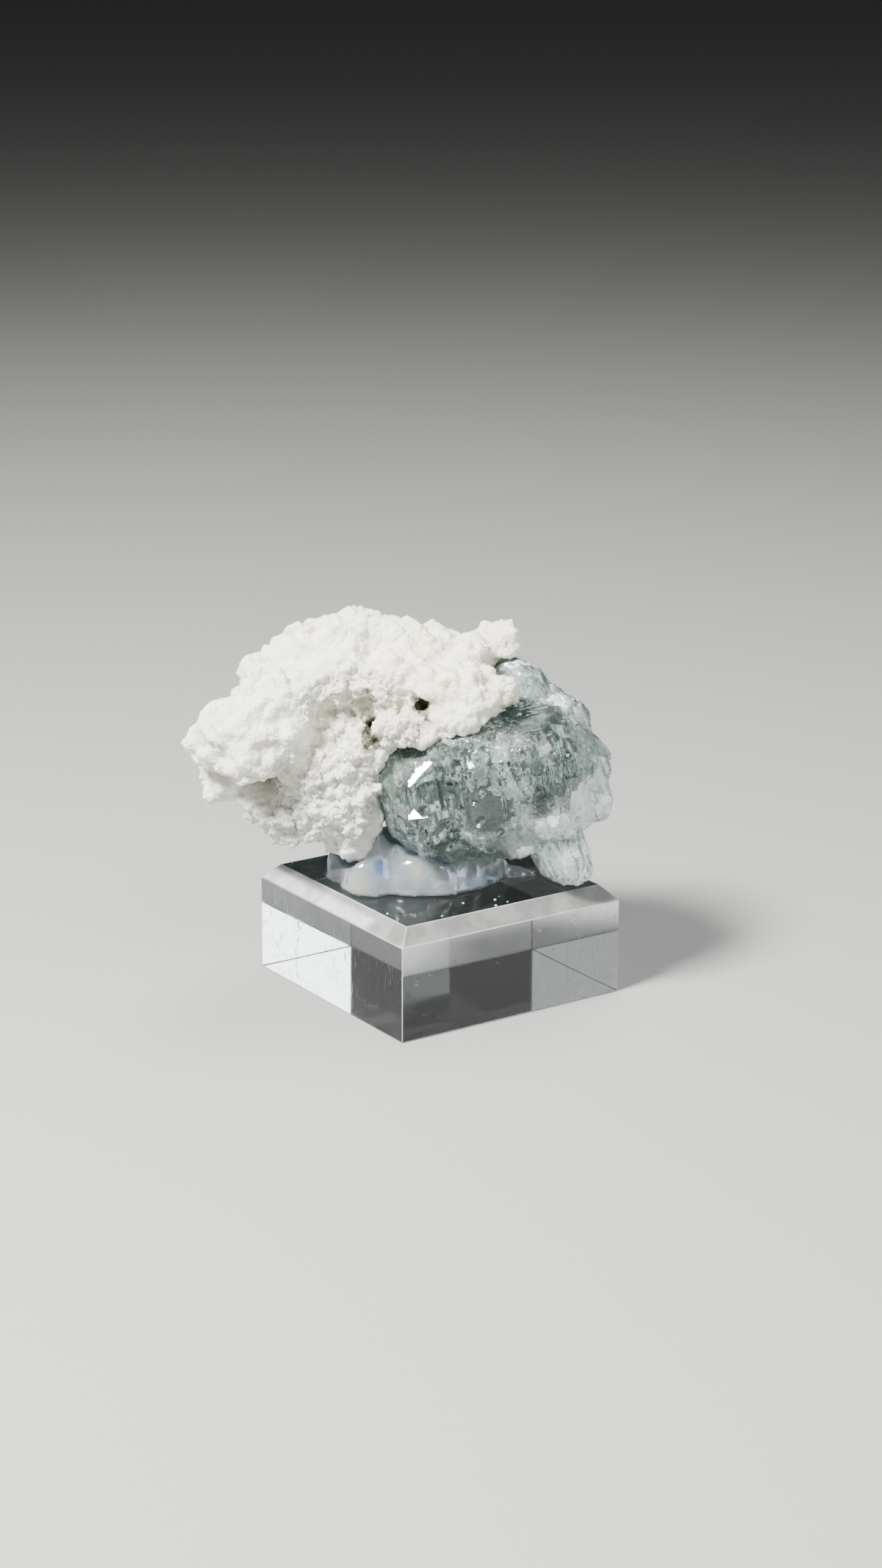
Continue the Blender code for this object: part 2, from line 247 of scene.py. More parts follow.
def closeTree(outputs):
    tree = list(outputs.values())[0].tree
    leave = tree.nodes.new("NodeGroupOutput")
    for label, wire in outputs.items():
        plug(wire, leave, label)
    return tree


def openShader(name, *outputs, **inputs):
    entry = openTree(name, "ShaderNodeTree", {"Vector": origin, **inputs}, outputs)
    return entry, entry["Vector"]


def openGeometry(name, lengths, **inputs):
    inputs = {"Geometry": None, **inMetres(lengths), **inputs}
    entry = openTree(name, "GeometryNodeTree", inputs, ("Geometry",))
    tree = entry["Geometry"].tree
    return entry, tree, inputOf(tree, "Position")


def useShader(group, place, **inputs):
    # a shader group inside a material or another group: its outputs as wires by name
    made = addNode("ShaderNodeGroup", {"Vector": place, **inputs}, node_tree=group)
    return {socket.name: Wire(place.tree, socket) for socket in made.socket.node.outputs}


def attributeOf(tree, label):
    return addNode("ShaderNodeAttribute", {}, "Fac", tree, attribute_name=label)


def newMaterial(name, plain):
    material = bpy.data.materials.new(name)
    material.use_nodes = True
    tree = material.node_tree
    shader = tree.nodes["Principled BSDF"]
    for key, value in {"Metallic": 0.0, **plain}.items():
        plug(value, shader, key)
    place = addNode("ShaderNodeTexCoord", {}, "Object", tree)
    return material, shader, place


def addBump(shader, height, distance, strength=1.0):
    inputs = {"Height": height, "Distance": distance, "Strength": strength}
    plug(addNode("ShaderNodeBump", inputs), shader, "Normal")


def addAbsorption(material, colour, density):
    tree = material.node_tree
    volume = addNode("ShaderNodeVolumeAbsorption", {"Color": colour, "Density": density}, tree=tree)
    plug(volume, tree.nodes["Material Output"], "Volume")


# shader groups that more than one material uses
def makeMottleGroup():
    # broad and fine blotches between 0 and 1, Size in mm
    entry, place = openShader("mottle", "Broad", "Fine", Size=4.0)
    broad = noiseAt(place, entry["Size"], 4.0)
    fine = noiseAt(place, entry["Size"] * (1 / 6), 3.0)
    return closeTree({"Broad": ramp(broad, 0.36, 0.64), "Fine": ramp(fine, 0.36, 0.64)})


def makeEtchingGroup():
    # marks shared by the aquamarine finishes; Facets is a height made of small tilted planes
    look = aquamarineLook
    _, place = openShader("aquamarine etching", "Lines", "Wisps", "Stain", "Skin", "Facets")
    along = turnedAt(place, crystalEuler)
    wisps = noiseAt(drawnOut(place, 0.55), 1.7, 4.0, 0.6, 1.2)
    away = vectorCalc("DISTANCE", displayAt(place), Vector(look["stainPlace"]) * mm)
    return closeTree({
        "Lines": noiseAt(drawnOut(along, 0.1), 0.35, 2.0),
        "Wisps": ramp(wisps, 0.50, 0.66),
        "Stain": stepAt(away, 1.1, 0.3),
        "Skin": noiseAt(place, 1.4, 2.0) * 3.0 + noiseAt(place, 0.5),
        "Facets": tiltedAt(drawnOut(along, 0.45), look["facetSize"]) * 1000.0,
    })


def makeAlbiteGroup():
    # the colour of the albite over the whole matrix with painted shade in its hollows, its fine grain and its
    # fine relief
    look = albiteLook
    _, place = openShader("albite colours", "Colour", "Grain", "Relief")
    hollow, vug, crusty = [attributeOf(place.tree, label) for label in ("hollow", "vug", "crusty")]
    across, _, height = partsOf(displayAt(place))
    mottle = useShader(mottleGroup, place, Size=6.2)
    grain = useShader(mottleGroup, place, Size=1.1)
    high = stepAt(height, 34, 47)
    warm = high * stepAt(across, -16, 4) * mottle["Broad"]
    colour = mixed(warm, look["white"], look["cream"])
    low = stepAt(height, 34, 22)
    colour = mixed(low * (mottle["Broad"] * 0.4 + 0.5), colour, look["cool"])
    tip = stepAt(across, 3, 8) * high * (grain["Broad"] * 0.6 + 0.1)
    colour = mixed(tip, colour, look["tan"])
    # thin tan rings round the smooth lobes, each with a shallow groove in the relief
    swell = noiseAt(place, look["ringSize"], 1.0) * look["rings"]
    ring = abs(calc("FRACT", swell) - 0.5)
    ring = ramp(ring, 0.16, 0.0) * ramp(crusty, 0.35, 0.0) * mottle["Fine"]
    colour = mixed(ring * high * 0.45, colour, look["tan"])
    # painted shade: hollows and creases darken towards a dull tan
    colour = mixed(hollow * (grain["Fine"] * 0.3 + 0.55), colour, look["hollow"])
    colour = mixed(grain["Fine"] * 0.10, colour, look["fleck"])
    # the holes: their olive lining, darkened to near black as painted shade inside them
    colour = mixed(vug, colour, mixed(grain["Broad"], look["olive"], look["paleOlive"]))
    crumb = cellsAt(place, 0.55)
    relief = crumb * crumb * -0.9 + noiseAt(place, 0.22, 3.0, 0.65)
    relief = relief * (crusty * 0.45 + 0.55)
    return closeTree({"Colour": colour, "Grain": grain["Fine"], "Relief": ring * -0.2 + relief})


def makeWearGroup():
    # what handling leaves on polished acrylic: Relief is raised dust and scratches, Smear a broad cloudiness
    look = acrylicLook
    _, place = openShader("acrylic wear", "Dust", "Relief", "Haze", "Smear")
    specks = cellsAt(place, look["speckSpacing"])
    size, chance, _ = partsOf(specks.output("Color"))
    specks = (specks < size * look["speckRadius"]) * (chance > 0.45)
    inputs = {"Vector": place, "Rotation": (0.3, 0.5, 0.7), "Scale": (1.0, 14.0, 1.0)}
    scratches = noiseAt(addNode("ShaderNodeMapping", inputs), 3.0, 5.0, 0.7)
    scratches = ramp(scratches, 0.62, 0.69)
    return closeTree({
        "Dust": calc("MAXIMUM", specks, scratches * 0.35),
        "Relief": scratches + specks,
        "Haze": useShader(mottleGroup, place, Size=9.0)["Broad"],
        "Smear": useShader(mottleGroup, place, Size=3.5)["Broad"],
    })


aquamarineLook = {
    "tint": (0.36, 0.62, 0.59),
    "density": 16.0,
    "indexOfRefraction": 1.575,
    "streak": (0.97, 0.985, 0.98),
    "stain": (0.55, 0.36, 0.20),
    "stainPlace": (5.9, -14.5, 32.2),
    "facetSize": 0.75,
    "facetHeight": 24.0,
    # mist is the range that a finish covers; inner is the colour seen face on, edge the paler one at a slant,
    # a painted sheen
    "clear": {
        "mist": (0.0, 0.34), "rough": (0.02, 0.08), "transmission": 0.93, "streaks": 0.15, "wisps": 0.32,
        "bump": 0.3, "facets": 0.03, "coat": 0.0, "inner": (0.86, 0.985, 0.955), "edge": (0.96, 0.995, 0.985),
    },
    "satin": {
        "mist": (0.34, 0.62), "rough": (0.05, 0.17), "transmission": 0.84, "streaks": 0.6, "wisps": 0.12,
        "bump": 0.9, "facets": 0.75, "coat": 0.9, "inner": (0.82, 0.985, 0.945), "edge": (0.93, 0.995, 0.98),
    },
    "frosted": {
        "mist": (0.62, 1.0), "rough": (0.12, 0.28), "transmission": 0.74, "streaks": 0.8, "wisps": 0.1,
        "bump": 1.0, "facets": 0.5, "coat": 0.7, "inner": (0.78, 0.985, 0.935), "edge": (0.92, 1.0, 0.98),
    },
    "milky": {
        "mist": (0.9, 1.3), "rough": (0.20, 0.32), "transmission": 0.30, "streaks": 0.8, "wisps": 0.1,
        "bump": 1.0, "facets": 1.0, "coat": 0.9, "inner": (0.82, 0.995, 0.95), "edge": (0.92, 1.0, 0.98),
    },
}


def makeAquamarine(name, finish):
    look = aquamarineLook
    kind = look[finish]
    plain = {"Transmission Weight": kind["transmission"], "IOR": look["indexOfRefraction"]}
    plain.update({"Coat Weight": kind["coat"], "Coat Roughness": 0.05})
    material, shader, place = newMaterial(name, plain)
    mist = attributeOf(place.tree, "mist")
    mottle = useShader(mottleGroup, place, Size=2.2)
    etching = useShader(etchingGroup, place)
    rough = ramp(mist, *kind["mist"], *kind["rough"])
    plug(etching["Wisps"] * kind["wisps"] + rough, shader, "Roughness")
    # painted sheen: the colour turns paler where the wall is seen at a slant
    facing = addNode("ShaderNodeLayerWeight", {"Blend": 0.35}, "Facing", place.tree)
    colour = mixed(facing, kind["inner"], kind["edge"])
    colour = mixed(mottle["Broad"] * etching["Lines"] * kind["streaks"], colour, look["streak"])
    colour = mixed(etching["Stain"] * mottle["Fine"], colour, look["stain"])
    plug(colour, shader, "Base Color")
    relief = blend(ramp(mist, 0.5, 0.9, 0.0, 0.6), etching["Lines"], etching["Skin"])
    relief = etching["Facets"] * (look["facetHeight"] * kind["facets"]) + relief
    addBump(shader, relief, 0.06 * mm, ramp(mist, -0.7, -0.1) * kind["bump"])
    addAbsorption(material, look["tint"], look["density"])
    return material


veilLook = {"cloudy": (0.92, 0.97, 0.96), "pale": (0.99, 1.0, 1.0)}


def makeVeil():
    # a healed fracture: a sheet of tiny bubbles, half see-through
    plain = {"Roughness": 0.4, "Transmission Weight": 0.5, "IOR": 1.2}
    material, shader, place = newMaterial("healed fracture", plain)
    mottle = useShader(mottleGroup, place, Size=1.6)
    plug(mixed(mottle["Fine"], veilLook["cloudy"], veilLook["pale"]), shader, "Base Color")
    return material


albiteLook = {
    "white": (0.895, 0.885, 0.80),
    "cream": (0.885, 0.85, 0.655),
    "cool": (0.87, 0.885, 0.88),
    "hollow": (0.66, 0.64, 0.575),
    "olive": (0.075, 0.07, 0.045),
    "paleOlive": (0.30, 0.29, 0.225),
    "tan": (0.83, 0.785, 0.645),
    "fleck": (0.97, 0.97, 0.96),
    "rings": 9.0,
    "ringSize": 6.5,
}


def makeAlbite(name, sparkle, bump, scatter):
    plain = {"Roughness": 0.62, "Subsurface Weight": scatter}
    plain.update({"Subsurface Radius": (1.0, 0.95, 0.85), "Subsurface Scale": 0.7 * mm})
    material, shader, place = newMaterial(name, plain)
    shades = useShader(albiteGroup, place)
    plug(shades["Colour"], shader, "Base Color")
    plug(shades["Grain"] * (-0.5 * sparkle) + 0.72, shader, "Roughness")
    addBump(shader, shades["Relief"], 0.24 * mm, bump)
    return material


glueLook = {
    "milk": (0.70, 0.785, 0.855),
    "pale": (0.82, 0.87, 0.915),
    "blue": (0.40, 0.52, 0.84),
    "warm": (0.985, 0.94, 0.80),
    "right": (0.95, 0.975, 0.99),
    "foot": (0.99, 0.99, 0.985),
    "tint": (0.85, 0.91, 0.97),
    "density": 8.0,
    # x, y, z, reach, strength and colour; the warm spots are a painted glow of light through the glue
    "tinges": (
        (-10.6, -8.6, 16.6, 2.2, 0.9, "warm"), (-2.9, -8.8, 18.0, 1.5, 0.9, "warm"),
        (-6.2, -9.2, 20.2, 1.5, 0.6, "warm"), (3.5, -6.5, 19.4, 2.2, 0.5, "warm"),
        (-7.6, -8.5, 18.8, 1.5, 1.0, "blue"), (1.6, -7.0, 18.4, 2.4, 0.45, "blue"),
    ),
}


def makeGlue():
    look = glueLook
    plain = {
        "Transmission Weight": 0.66, "IOR": 1.48, "Coat Weight": 1.0, "Coat Roughness": 0.02,
        "Subsurface Weight": 0.8, "Subsurface Radius": (0.9, 1.0, 1.1), "Subsurface Scale": 1.6 * mm,
    }
    material, shader, place = newMaterial("clear glue", plain)
    shown = displayAt(place)
    across, _, height = partsOf(shown)
    mottle = useShader(mottleGroup, place, Size=3.4)
    colour = mixed(mottle["Broad"], look["milk"], look["pale"])
    for x, y, z, reach, strength, tinge in look["tinges"]:
        away = vectorCalc("DISTANCE", shown, (x * mm, y * mm, z * mm))
        colour = mixed(stepAt(away, reach, 0.3 * reach, 0.0, strength), colour, look[tinge])
    # painted light: the glue's right side is painted paler, for the light that comes through the crystal
    colour = mixed(stepAt(across, -3, 4) * 0.75, colour, look["right"])
    # painted highlight: a near-white band round the glue's foot, for the bright rim where it meets the block
    colour = mixed(stepAt(height, 16.0, 15.4) * 0.9, colour, look["foot"])
    plug(colour, shader, "Base Color")
    plug(ramp(mottle["Fine"], 0.0, 1.0, 0.05, 0.16), shader, "Roughness")
    addBump(shader, noiseAt(drawnOut(place, 0.4), 1.6, 2.0), 0.16 * mm, 0.8)
    addAbsorption(material, look["tint"], look["density"])
    return material


acrylicLook = {
    "faces": {"transmission": 1.0, "roughness": 0.015, "density": 24.0,
              "colour": (0.985, 0.99, 0.99), "smear": (0.93, 0.94, 0.94)},
    "top": {"transmission": 1.0, "roughness": 0.03, "density": 10.0,
            "colour": (0.945, 0.95, 0.95), "smear": (0.85, 0.865, 0.865)},
    "edges": {"transmission": 0.66, "roughness": 0.10, "density": 24.0,
              "colour": (0.97, 0.965, 0.935), "smear": (0.68, 0.70, 0.69)},
    # the rounded corners are pale and half see-through: a painted highlight for the bright lines the back
    # edges refract
    "corners": {"transmission": 0.5, "roughness": 0.12, "density": 24.0,
                "colour": (0.95, 0.95, 0.935), "smear": (0.80, 0.81, 0.80)},
    "indexOfRefraction": 1.49,
    "dust": (0.86, 0.87, 0.87),
    "tint": (0.80, 0.83, 0.825),
    "speckSpacing": 2.0,
    "speckRadius": 0.085,
}


def makeAcrylic(name, part):
    look = acrylicLook
    kind = look[part]
    plain = {"Transmission Weight": kind["transmission"], "IOR": look["indexOfRefraction"]}
    material, shader, place = newMaterial(name, plain)
    wear = useShader(wearGroup, place)
    plug(wear["Haze"] * 0.05 + kind["roughness"] + wear["Dust"] * 0.5, shader, "Roughness")
    colour = mixed(wear["Smear"], kind["colour"], kind["smear"])
    plug(mixed(wear["Dust"], colour, look["dust"]), shader, "Base Color")
    addBump(shader, wear["Relief"], 0.03 * mm, 0.5)
    addAbsorption(material, look["tint"], kind["density"])
    return material


crumbLook = {"pale": (0.86, 0.85, 0.82), "brown": (0.66, 0.63, 0.57)}


def makeCrumb():
    material, shader, place = newMaterial("pale crumbs", {"Roughness": 0.7})
    mottle = useShader(mottleGroup, place, Size=1.2)
    plug(mixed(mottle["Broad"], crumbLook["pale"], crumbLook["brown"]), shader, "Base Color")
    return material


mottleGroup = makeMottleGroup()
etchingGroup = makeEtchingGroup()
albiteGroup = makeAlbiteGroup()
wearGroup = makeWearGroup()
aquamarine = makeAquamarine("aquamarine", "clear")
satinAquamarine = makeAquamarine("satin aquamarine", "satin")
frostedAquamarine = makeAquamarine("frosted aquamarine", "frosted")
milkyAquamarine = makeAquamarine("milky aquamarine", "milky")
veilMaterial = makeVeil()
albite = makeAlbite("albite", 0.5, 1.0, 0.12)
albiteGrain = makeAlbite("albite grains", 0.8, 0.15, 0.0)
glueMaterial = makeGlue()
acrylic = makeAcrylic("clear acrylic", "faces")
acrylicEdge = makeAcrylic("hazed acrylic edges", "edges")
acrylicCorner = makeAcrylic("acrylic corners painted bright", "corners")
acrylicTop = makeAcrylic("dulled acrylic top", "top")
crumbMaterial = makeCrumb()
print("materials made")


# pieces: meshes in and out of the scene, and the modifiers that more than one of them has
def newPiece(name, mesh):
    piece = bpy.data.objects.new(name, mesh)
    bpy.context.scene.collection.objects.link(piece)
    return piece


def meshOf(body, name):
    mesh = bpy.data.meshes.new(name)
    body.to_mesh(mesh)
    body.free()
    return mesh


def copyOfNode(nodeName, pieceName):
    body = bmesh.new()
    body.from_mesh(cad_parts[nodeName].data)
    bmesh.ops.remove_doubles(body, verts=body.verts, dist=0.01 * mm)
    mesh = meshOf(body, pieceName)
    mesh.materials.clear()
    return newPiece(pieceName, mesh)


def sheetOf(name, reach, height):
    body = bmesh.new()
    bmesh.ops.create_grid(body, x_segments=1, y_segments=1, size=reach)
    bmesh.ops.translate(body, verts=body.verts, vec=(0, 0, height))
    return meshOf(body, name)


def addRemesh(piece, size):
    remesh = piece.modifiers.new("remesh", "REMESH")
    remesh.mode = "VOXEL"
    remesh.voxel_size = size * mm
    remesh.use_smooth_shade = True


def softCopy(nodeName, pieceName, sizes):
    piece = copyOfNode(nodeName, pieceName)
    addRemesh(piece, sizes["softVoxel"])
    smooth = piece.modifiers.new("smooth", "SMOOTH")
    smooth.factor = sizes["smoothing"]
    smooth.iterations = sizes["repeats"]
    return piece


def addTree(piece, tree, lengths, **plain):
    values = {**inMetres(lengths), **plain}
    nodes = piece.modifiers.new(tree.name, "NODES")
    nodes.node_group = tree
    for item in tree.interface.items_tree:
        if item.in_out == "INPUT" and item.name in values:
            nodes[item.identifier] = values[item.name]


def plainMesh(piece, material=None, smooth=True):
    graph = bpy.context.evaluated_depsgraph_get()
    seen = piece.evaluated_get(graph)
    mesh = bpy.data.meshes.new_from_object(seen, preserve_all_data_layers=True, depsgraph=graph)
    piece.modifiers.clear()
    piece.data = mesh
    if material:
        mesh.materials.clear()
        mesh.materials.append(material)
        mesh.polygons.foreach_set("use_smooth", [smooth] * len(mesh.polygons))
    mesh.update()


def report(piece):
    piece.data.calc_loop_triangles()
    print(piece.name, len(piece.data.loop_triangles), "triangles")


blockSizes = {"side": 35.0, "height": 15.0, "chamfer": 2.0, "edge": 0.11, "edgeSteps": 3}


def makeBlock():
    sizes = blockSizes
    side, top, edge = sizes["side"] * mm, sizes["height"] * mm, sizes["edge"] * mm
    body = bmesh.new()
    bmesh.ops.create_cube(body, size=1.0)
    shape = Matrix.Translation((0, 0, top / 2)) @ Matrix.Diagonal((side, side, top, 1.0))
    bmesh.ops.transform(body, matrix=shape, verts=body.verts)
    rim = [line for line in body.edges if all(abs(v.co.z - top) < 1e-6 for v in line.verts)]
    bmesh.ops.bevel(body, geom=rim, offset=sizes["chamfer"] * mm, segments=1, affect="EDGES")
    sharp = [line for line in body.edges if line.calc_face_angle(0.0) > math.radians(20)]
    bmesh.ops.bevel(body, geom=sharp, offset=edge, segments=sizes["edgeSteps"], profile=0.5, affect="EDGES")
    mesh = meshOf(body, "block")
    for material in (acrylic, acrylicEdge, acrylicCorner, acrylicTop):
        mesh.materials.append(material)
    for face in mesh.polygons:
        small = face.area < edge * side
        sloping = 0.3 < face.normal.z < 0.9
        face.use_smooth = small
        face.material_index = 2 if small else 1 if sloping else 3 if face.normal.z > 0.9 else 0
    piece = newPiece("polished_block", mesh)
    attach(piece, "root")
    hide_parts("acrylic_block")
    report(piece)


makeBlock()


# helpers for the geometry trees
def inputOf(tree, kind):
    return addNode(f"GeometryNodeInput{kind}", {}, tree=tree)


def objectOf(tree, piece):
    return addNode("GeometryNodeObjectInfo", {"Object": piece}, "Geometry", tree)


def awayFrom(tree, piece):
    return addNode("GeometryNodeProximity", {0: objectOf(tree, piece)}, "Distance")


def moved(geometry, offset):
    return addNode("GeometryNodeSetPosition", {"Geometry": geometry, "Offset": offset})


def pushed(geometry, distance, normal=None):
    # moved along the normal, outwards where the distance is positive
    normal = normal or inputOf(geometry.tree, "Normal")
    return moved(geometry, vectorCalc("SCALE", normal, scale=distance))


def scattered(entry):
    # points over the faces that come in, by the tree's Density and Seed, and their normals
    inputs = {"Mesh": entry["Geometry"], "Density": entry["Density"], "Seed": entry["Seed"]}
    points = addNode("GeometryNodeDistributePointsOnFaces", inputs, "Points")
    return points, points.output("Normal")


def without(points, unwanted):
    inputs = {"Geometry": points, "Selection": unwanted}
    return addNode("GeometryNodeDeleteGeometry", inputs)


def drawn(tree, low, high, seed):
    return addNode("FunctionNodeRandomValue", {2: low, 3: high, "Seed": seed}, 1, tree)


def drawnSize(entry, label, seed):
    low = entry[f"Low {label}"]
    return drawn(low.tree, low, entry[f"High {label}"], seed)


def drawnTurn(tree, seed, low=origin, high=(6.28, 6.28, 6.28)):
    inputs = {0: low, 1: high, "Seed": seed}
    return addNode("FunctionNodeRandomValue", inputs, 0, tree, data_type="FLOAT_VECTOR")


def placedOn(points, shape, scale, turn):
    inputs = {"Points": points, "Instance": shape, "Scale": scale, "Rotation": turn}
    return addNode("GeometryNodeInstanceOnPoints", inputs)


def beadOf(tree, rounds):
    return addNode("GeometryNodeMeshIcoSphere", {"Radius": 1.0, "Subdivisions": rounds}, "Mesh", tree)


def combined(operation, meshes, first=None):
    # the one solid that the meshes make, or what they leave of the first
    inputs = {1: meshes} if first is None else {0: first, 1: meshes}
    settings = {"operation": operation, "solver": "MANIFOLD"}
    return addNode("GeometryNodeMeshBoolean", inputs, "Mesh", meshes[0].tree, **settings)


def stored(geometry, label, value):
    inputs = {"Geometry": geometry, "Name": label, "Value": value}
    return addNode("GeometryNodeStoreNamedAttribute", inputs)


def realized(geometry):
    return addNode("GeometryNodeRealizeInstances", {"Geometry": geometry})


def painted(geometry, material, where=True):
    inputs = {"Geometry": geometry, "Selection": where, "Material": material}
    return addNode("GeometryNodeSetMaterial", inputs)


def endTree(geometry, material):
    return closeTree({"Geometry": painted(realized(geometry), material)})


# the aquamarine: a softly etched clear body, frosted down its right side
crystalSizes = {
    "softVoxel": 0.27,
    "smoothing": 0.6,
    "repeats": 4,
    "softening": 9,
    "relief": {"Terrace": 0.24, "Swelling": 0.40, "Ripple": 0.7},
    "terraceSize": 1.9,
    "facet": 1.5,
    "facetSlope": 0.55,
    "contact": 2.0,  # how near the albite the wall turns dull
    "seam": 0.38,
    "seamReach": (1.6, 0.4),
    "creaseAngle": 26.0,
    "rimWidth": 0.024,
    "satinFrom": 0.34,
    "frostedFrom": 0.62,
    "milkyFrom": 0.9,
    "apothem": 0.866,  # of a hexagon, over its radius
    # Density, Radius, Height, Stand, Tumble, Patch, Level, Zoned and Seed. Patch is how much of the wall is
    # left bare; Level 1 keeps to the crystal's ends; Zoned 1 keeps to ribSpots and 2 to pitSpots
    "proud": {
        "blocks": (24000.0, (0.9, 2.2), (2.0, 5.0), (0.03, 0.16), 0.16, 0.44, 0.0, 0.0, 3),
        "steps": (90000.0, (0.25, 0.8), (0.5, 1.8), (0.03, 0.14), 0.5, 0.50, 0.0, 0.0, 5),
        "ribs": (2600000.0, (0.13, 0.26), (0.9, 3.0), (0.02, 0.16), 0.02, 0.0, 0.0, 1.0, 7),
        "plates": (30000.0, (0.4, 1.5), (0.4, 1.0), (0.03, 0.18), 0.10, 0.45, 1.0, 0.0, 8),
    },
    "sunk": {
        "pits": (1300000.0, (0.12, 0.42), (0.3, 1.1), (-0.50, -0.10), 0.4, 0.0, 0.0, 2.0, 9),
        "grooves": (3200000.0, (0.07, 0.16), (0.5, 2.2), (-0.35, -0.12), 0.03, 0.0, 0.0, 1.0, 15),
        "chips": (110000.0, (0.4, 1.4), (0.6, 2.4), (-0.34, -0.06), 0.9, 0.42, 0.0, 0.0, 10),
    },
}

# places on the good side: across, up, half width and half height in mm, then a strength if it isn't 1
clearSpots = (
    (12.1, 35.6, 4.2, 2.3, 0.60), (1.5, 24.7, 2.5, 1.8, 0.75), (6.5, 22.8, 2.6, 2.1, 0.70),
    (14.1, 25.2, 3.0, 2.3, 0.32), (16.3, 30.9, 2.2, 2.0, 0.36), (-0.5, 20.0, 1.6, 1.4, 0.30),
    (5.6, 33.5, 3.0, 1.1, 0.40), (-0.7, 31.9, 1.2, 1.1, 0.55), (-3.1, 24.9, 1.9, 1.5, 0.50),
)
cloudSpots = (
    (6.1, 28.6, 2.6, 2.4, 0.16), (10.1, 31.9, 2.4, 1.6, 0.14), (12.1, 29.6, 2.2, 2.2, 0.12),
    (9.2, 25.7, 2.1, 1.0, 0.36), (9.8, 22.1, 1.6, 1.8, 0.40), (3.8, 19.1, 2.7, 1.2, 0.36),
    (16.3, 33.8, 1.6, 1.2, 0.22), (-3.4, 29.2, 3.2, 2.6, 0.20),
)
milkSpots = ((21.1, 24.1, 3.2, 3.6), (16.0, 20.6, 4.5, 1.8, 0.3), (15.5, 37.5, 3.0, 1.2, 0.15))
ribSpots = (
    (-3.1, 24.9, 1.9, 1.5), (5.2, 33.9, 3.6, 1.2), (12.2, 31.6, 2.2, 1.8),
    (15.6, 31.4, 1.6, 1.6), (2.6, 25.4, 1.2, 1.2), (9.5, 33.2, 2.5, 1.6),
    (13.5, 27.5, 2.4, 1.6), (-0.5, 27.5, 2.0, 1.2), (17.8, 27.5, 1.4, 2.5),
)
pitSpots = (
    (8.9, 30.4, 1.5, 1.7), (2.9, 18.4, 1.8, 0.8), (10.6, 19.9, 2.4, 0.8),
    (3.2, 27.0, 2.2, 1.3), (-2.6, 21.0, 1.6, 1.6),
)
skinShape = {
    # the frosted skin lies outside a rounded square on the good side, and under a line along its lower right
    "middle": (6.6, 29.3),
    "reach": (11.8, 8.6),
    "leftEdge": (8.0, 9.5),
    "lineSlope": 0.5,
    "lineHeight": 16.1,
    "lowLeftEdge": (7.0, 10.0),
    "toothTop": (23.5, 22.2),
    "toothLeft": (9.5, 11.0),
}


def frostAt(place):
    # 1 on the frosted skin: the crown, the right flank and the lower right
    shape = skinShape
    across, up = faceOn(place)
    wander = noiseAt(place, 2.6) * 0.6 - 0.3
    dx = across * (1 / (shape["reach"][0] * mm)) - shape["middle"][0] / shape["reach"][0]
    dy = up * (1 / (shape["reach"][1] * mm)) - shape["middle"][1] / shape["reach"][1]
    edge = calc("MAXIMUM", dx, 0.0) ** 3.0 + abs(dy) ** 3.0
    skin = ramp(edge + wander, 0.72, 1.22) * stepAt(across, *shape["leftEdge"])
    under = across * shape["lineSlope"] + shape["lineHeight"] * mm - up + wander * (10 * mm)
    return calc("MAXIMUM", skin, stepAt(under, -1.4, 1.0) * stepAt(across, *shape["lowLeftEdge"]))


def toothAt(place):
    # 1 on the small crystal that hangs from the right
    across, _, height = partsOf(displayAt(place))
    return stepAt(height, *skinShape["toothTop"]) * stepAt(across, *skinShape["toothLeft"])


def toothLines(place, size):
    # streaks along the small crystal's own length
    return noiseAt(drawnOut(turnedAt(place, toothEuler), 0.12), size, 2.0) - 0.5


def mistAt(place, normal):
    # how dull the wall is, in angular patches: 0 clear, 0.5 satin, 0.75 frosted, 1 milky
    along = drawnOut(turnedAt(place, crystalEuler), 0.6)
    patch = cellsAt(along, 1.9, "Position")
    shift = turnedAt(vectorCalc("SUBTRACT", patch, along), crystalEuler, back=False)
    patchPlace = vectorCalc("ADD", place, shift)
    luck = partsOf(patch.output("Color"))[0] - 0.5
    flake = partsOf(cellsAt(along, 0.6, "Color"))[1] - 0.5
    base = noiseAt(place, 1.6, 3.0, 0.7) * 0.8 - 0.05 + luck * 0.36 + flake * 0.14
    base = base - spotsAt(patchPlace, clearSpots)
    base = calc("ADD", base, spotsAt(patchPlace, cloudSpots), clamp=True)
    base = base + ramp(partsOf(displayAt(normal))[1], 0.1, 0.5) * 0.14  # the back is duller
    tooth = toothAt(place)
    base = blend(tooth, base, toothLines(place, 0.7) * 1.7 + 1.05)
    skin = (frostAt(place) - tooth) * 0.86
    milk = spotsAt(patchPlace, milkSpots) * (skin > 0.6) * noiseAt(place, 1.6, 3.0, 0.6)
    return calc("MAXIMUM", base, skin + milk)


